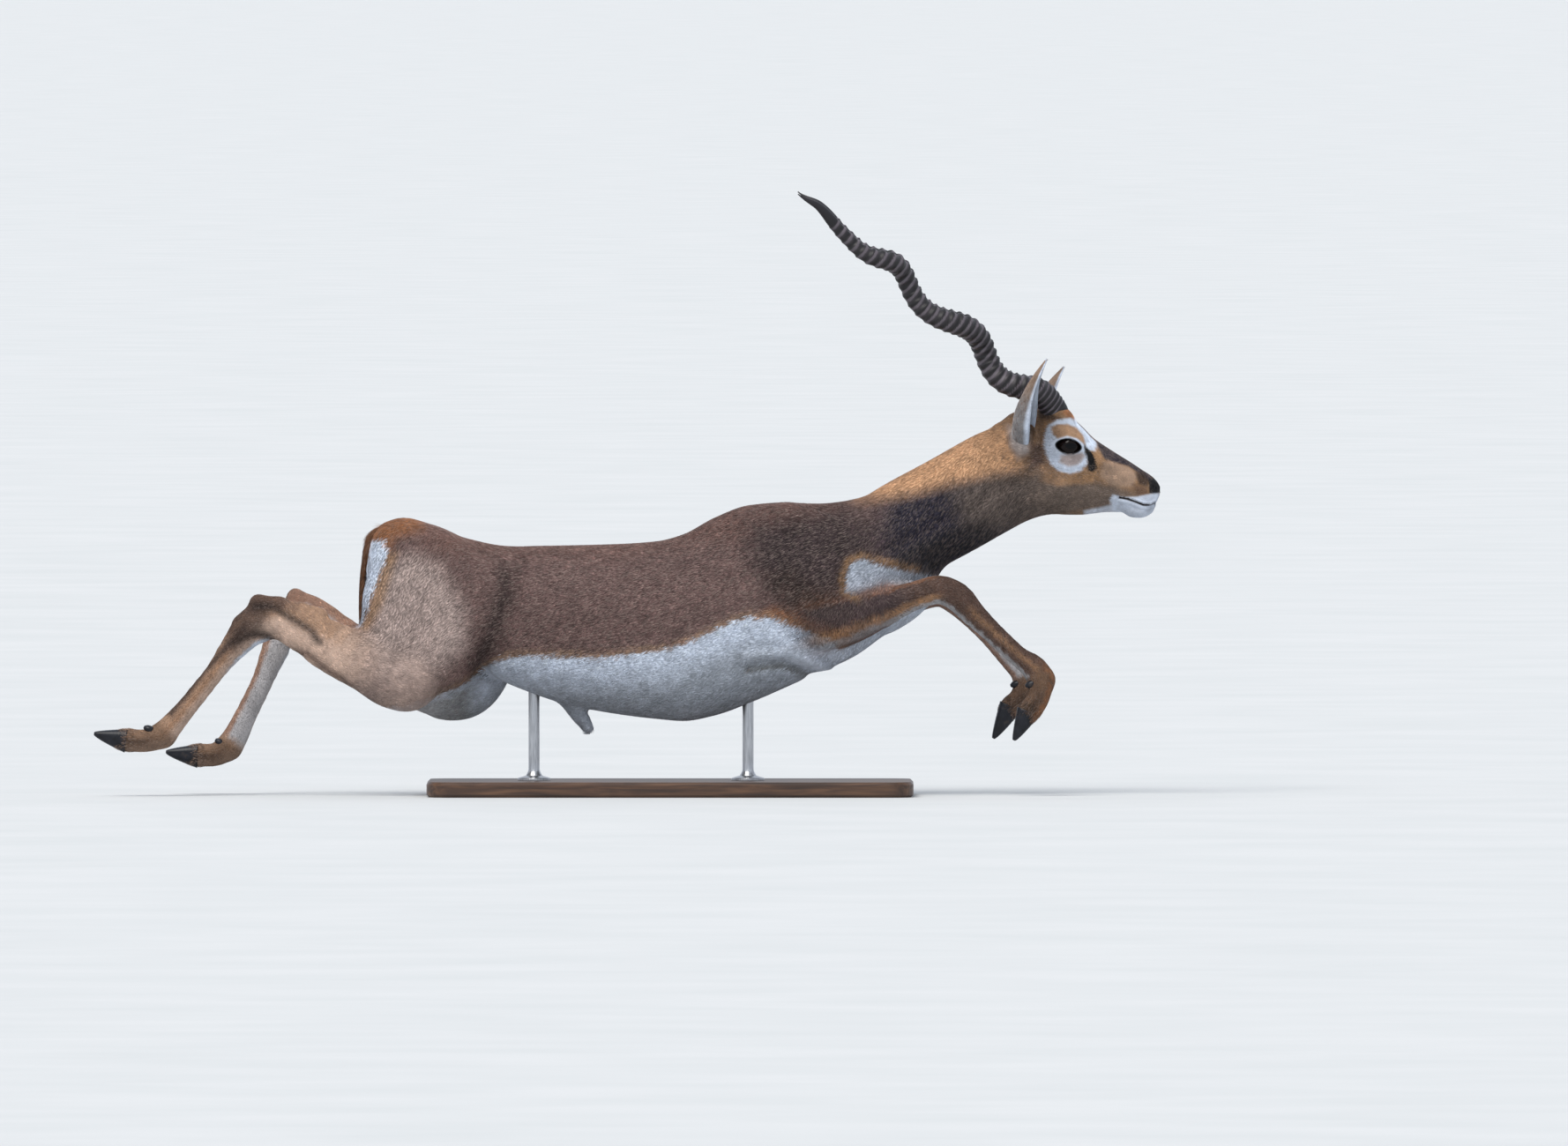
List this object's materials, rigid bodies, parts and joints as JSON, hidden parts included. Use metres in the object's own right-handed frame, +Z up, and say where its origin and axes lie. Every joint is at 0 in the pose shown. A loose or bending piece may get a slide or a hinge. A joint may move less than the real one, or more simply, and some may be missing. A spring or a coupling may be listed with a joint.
{
  "type": "blackbuck display model",
  "caption": "Life-size adult male blackbuck in full leap, with ridged corkscrew horns, held over a flat display base by short rods.",
  "frame": {"origin": "centre of the display base's underside, on the floor", "axes": "+X towards the nose, +Y to the animal's left, +Z up"},
  "size_m": [1.5339, 0.3976, 0.8687],
  "materials": {
    "body_coat": "short brown hair",
    "neck_coat": "short dark brown hair",
    "head_coat": "short tan hair with white and black marks",
    "leg_coat": "short tan hair",
    "ear_coat": "short pale hair",
    "tail_coat": "short rufous hair",
    "horn": "ridged horn, satin",
    "hoof": "polished black horn",
    "eye": "dark wet gloss",
    "stand_steel": "brushed",
    "stand_wood": "dark satin varnish"
  },
  "bodies": {
    "root": {"fore_right_forearm": "leg_coat", "fore_right_cannon": "leg_coat", "fore_right_foot": "leg_coat", "fore_right_hoof_inner": "hoof", "fore_right_dewclaw_inner": "hoof", "fore_right_hoof_outer": "hoof", "fore_right_dewclaw_outer": "hoof", "fore_left_forearm": "leg_coat", "fore_left_cannon": "leg_coat", "fore_left_foot": "leg_coat", "fore_left_hoof_inner": "hoof", "fore_left_dewclaw_inner": "hoof", "fore_left_hoof_outer": "hoof", "fore_left_dewclaw_outer": "hoof", "hind_right_thigh": "body_coat", "hind_right_shank": "leg_coat", "hind_right_cannon": "leg_coat", "hind_right_foot": "leg_coat", "hind_right_hoof_inner": "hoof", "hind_right_dewclaw_inner": "hoof", "hind_right_hoof_outer": "hoof", "hind_right_dewclaw_outer": "hoof", "hind_left_thigh": "body_coat", "hind_left_shank": "leg_coat", "hind_left_cannon": "leg_coat", "hind_left_foot": "leg_coat", "hind_left_hoof_inner": "hoof", "hind_left_dewclaw_inner": "hoof", "hind_left_hoof_outer": "hoof", "hind_left_dewclaw_outer": "hoof", "head": "head_coat", "torso": "body_coat", "tail": "tail_coat", "neck": "neck_coat", "horn_right": "horn", "ear_right": "ear_coat", "eye_right": "eye", "horn_left": "horn", "ear_left": "ear_coat", "eye_left": "eye", "stand_base": "stand_wood", "stand_rod_rear": "stand_steel", "stand_rod_front": "stand_steel"}
  },
  "joints": []
}
